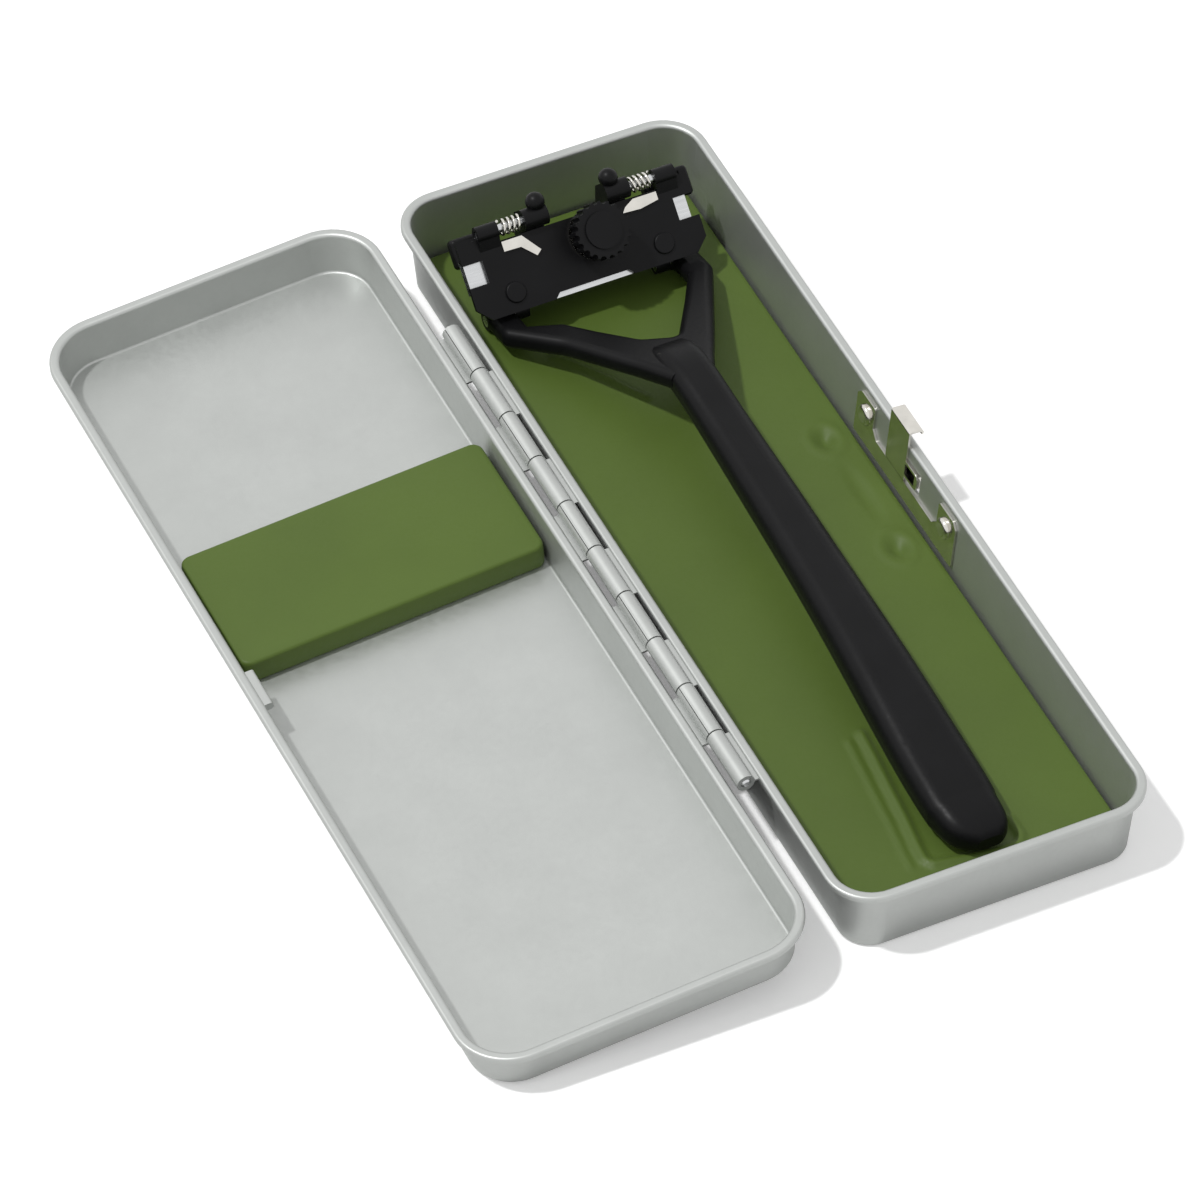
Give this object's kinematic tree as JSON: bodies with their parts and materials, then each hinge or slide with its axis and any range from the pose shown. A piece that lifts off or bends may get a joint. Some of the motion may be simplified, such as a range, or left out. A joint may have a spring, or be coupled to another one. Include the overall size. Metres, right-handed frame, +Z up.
{
  "type": "razor travel case",
  "caption": "Hinged tin travel case lying open, with a green silicone mat and lid pad, a sprung hook latch and a black metal safety razor resting in it.",
  "frame": {"origin": "middle of the tray's flat underside", "axes": "+X towards the latch side, +Y towards the razor's head, +Z up out of the tray"},
  "size_m": [0.1269, 0.1876, 0.0234],
  "materials": {
    "tin": "satin",
    "steel": "satin",
    "nickel": "polished",
    "blade_steel": "polished",
    "silicone": "matte",
    "black_coat": "satin"
  },
  "bodies": {
    "tray": {"tray_shell": "tin", "tray_mat": "silicone", "hinge_pin": "steel", "latch_plate": "nickel", "latch_rivets": "nickel"},
    "lid": {"lid_shell": "tin", "lid_pad": "silicone"},
    "latch": {"latch_tongue": "nickel"},
    "razor": {"razor_handle": "black_coat"},
    "razor_head": {"head_block": "black_coat", "pivot_pins": "steel", "blades": "blade_steel", "blade_spacers": "steel", "cover_hinge_pins": "steel", "cover_springs": "nickel", "ball_studs": "black_coat", "clamp_stud": "steel"},
    "cover": {"clamp_cover": "black_coat", "spring_plates": "nickel"},
    "washer": {"clamp_washer": "nickel"},
    "knob": {"clamp_knob": "black_coat"}
  },
  "joints": [
    {"name": "lid_hinge", "type": "hinge", "parent": "tray", "child": "lid", "pos_m": [-0.0318, 0, 0.0145], "axis": [0, -1, 0], "range_deg": [-184.59, 0]},
    {"name": "latch_flex", "type": "hinge", "parent": "tray", "child": "latch", "pos_m": [0.0267, 0.0024, 0.0074], "axis": [0, -1, 0], "range_deg": [0, 8], "stiffness_Nm_per_rad": 0.3, "springref_deg": -1.72},
    {"name": "razor_lift", "type": "slide", "parent": "tray", "child": "razor", "axis": [0, 0, 1], "range_m": [0, 0.04]},
    {"name": "head_pivot", "type": "hinge", "parent": "razor", "child": "razor_head", "pos_m": [-0.0008, 0.06772, 0.00462], "axis": [-1, 0, 0], "range_deg": [0, 20], "stiffness_Nm_per_rad": 0.02, "springref_deg": -11.46},
    {"name": "cover_hinge", "type": "hinge", "parent": "razor_head", "child": "cover", "pos_m": [-0.0008, 0.07425, 0.01932], "axis": [-1, 0, 0], "range_deg": [0, 10]},
    {"name": "washer_slide", "type": "slide", "parent": "razor_head", "child": "washer", "axis": [0, -0.682, 0.7314], "range_m": [0, 0.0024]},
    {"name": "knob_turn", "type": "hinge", "parent": "washer", "child": "knob", "pos_m": [0.0008, 0.06714, 0.01816], "axis": [0, -0.682, 0.7314], "range_deg": [0, 1080]}
  ],
  "couplings": [
    {"joint": "knob_turn", "follows": "washer_slide", "rad_per_m": 7853.9},
    {"joint": "cover_hinge", "follows": "washer_slide", "rad_per_m": 72.7}
  ]
}
